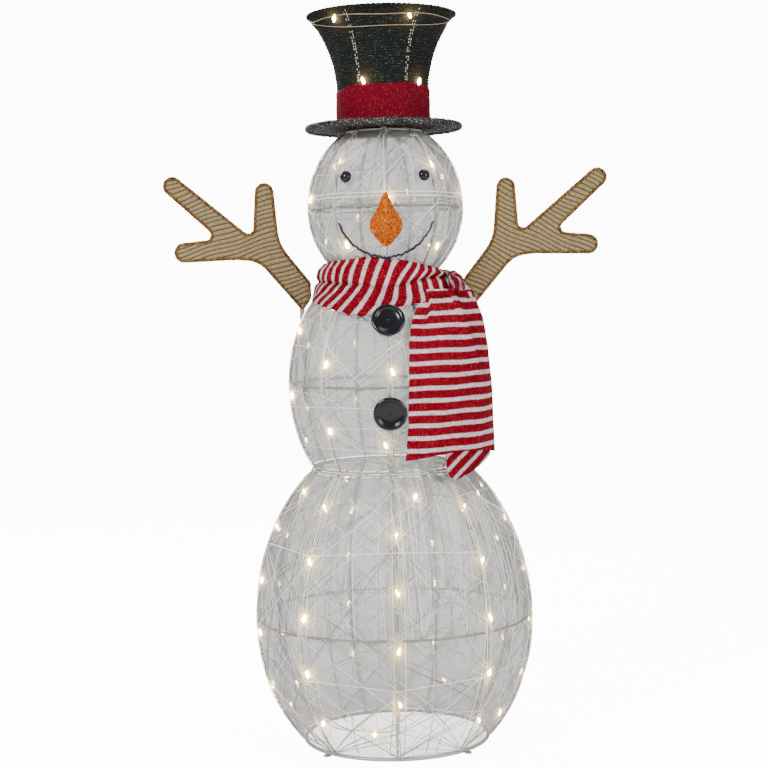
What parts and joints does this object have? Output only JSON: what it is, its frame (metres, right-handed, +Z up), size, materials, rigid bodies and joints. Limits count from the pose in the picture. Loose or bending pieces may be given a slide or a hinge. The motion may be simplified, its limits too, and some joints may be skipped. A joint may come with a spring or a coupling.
{
  "type": "lit wire-frame yard snowman",
  "caption": "Lit yard snowman of stacked wire-frame balls wound with clear thread, with a knit top hat, scarf, folding twig arms and warm white string lights.",
  "frame": {"origin": "centre of the base ring on the ground", "axes": "+Z up through the hat, front faces -Y, +X to the viewer's right when seen from the front"},
  "size_m": [0.931, 0.5884, 1.5227],
  "materials": {
    "white_wire": "white powder coat",
    "thread": "clear crystal thread",
    "string_wire": "clear insulation over copper",
    "led_body": "moulded clear resin",
    "bulb": "lit warm white lens",
    "black_plastic": "gloss moulded",
    "connector": "moulded",
    "zinc": "zinc plated",
    "scarf_knit": "striped knit",
    "band_knit": "sequin knit",
    "hat_knit": "ribbed knit",
    "brim_tinsel": "tinsel yarn",
    "arm_mesh": "ribbed tinsel mesh",
    "arm_edging": "twisted tinsel yarn",
    "nose_tinsel": "tinsel yarn",
    "dark_wire": "gloss lacquer"
  },
  "bodies": {
    "bottom_section": {"base_ring": "white_wire", "anchor_tabs": "zinc", "bottom_rib_cage": "white_wire", "bottom_top_hoop": "white_wire", "bottom_winding": "thread", "power_inlet": "connector", "bottom_string_socket": "connector", "bottom_light_wire": "string_wire", "bottom_led_bodies": "led_body", "bottom_led_bulbs": "bulb"},
    "middle_section": {"middle_end_hoops": "white_wire", "middle_rib_cage": "white_wire", "middle_winding": "thread", "middle_clips": "zinc", "middle_string_plug": "connector", "middle_string_socket": "connector", "middle_light_wire": "string_wire", "middle_led_bodies": "led_body", "middle_led_bulbs": "bulb", "upper_button": "black_plastic", "lower_button": "black_plastic", "left_shoulder_pin": "zinc", "right_shoulder_pin": "zinc", "scarf_loop": "scarf_knit", "scarf_knot": "scarf_knit", "scarf_tail": "scarf_knit"},
    "head": {"head_end_hoops": "white_wire", "head_rib_cage": "white_wire", "head_winding": "thread", "head_clips": "zinc", "head_string_plug": "connector", "head_string_socket": "connector", "head_light_wire": "string_wire", "head_led_bodies": "led_body", "head_led_bulbs": "bulb", "left_eye": "black_plastic", "right_eye": "black_plastic", "mouth_wire": "dark_wire", "nose_cover": "nose_tinsel", "nose_frame": "white_wire"},
    "hat": {"brim_cover": "brim_tinsel", "brim_frame": "white_wire", "crown_cover": "hat_knit", "crown_top_cover": "hat_knit", "crown_frame": "white_wire", "hat_band": "band_knit", "hat_string_plug": "connector", "hat_light_wire": "string_wire", "hat_led_bodies": "led_body", "hat_led_bulbs": "bulb", "hat_clips": "zinc"},
    "left_arm": {"left_arm_frame": "white_wire", "left_arm_edging": "arm_edging", "left_arm_mesh": "arm_mesh", "left_arm_hinge_eyes": "zinc"},
    "right_arm": {"right_arm_frame": "white_wire", "right_arm_edging": "arm_edging", "right_arm_mesh": "arm_mesh", "right_arm_hinge_eyes": "zinc"}
  },
  "joints": [
    {"name": "middle_lift", "type": "slide", "parent": "bottom_section", "child": "middle_section", "axis": [0, 0, 1], "range_m": [0, 0.1]},
    {"name": "head_lift", "type": "slide", "parent": "middle_section", "child": "head", "axis": [0, 0, 1], "range_m": [0, 0.12]},
    {"name": "hat_lift", "type": "slide", "parent": "head", "child": "hat", "axis": [0, 0, 1], "range_m": [0, 0.15]},
    {"name": "left_arm_fold", "type": "hinge", "parent": "middle_section", "child": "left_arm", "pos_m": [-0.18, 0.01, 0.948], "axis": [0, 0, -1], "range_deg": [0, 80]},
    {"name": "right_arm_fold", "type": "hinge", "parent": "middle_section", "child": "right_arm", "pos_m": [0.18, 0.01, 0.948], "axis": [0, 0, 1], "range_deg": [0, 80]}
  ]
}
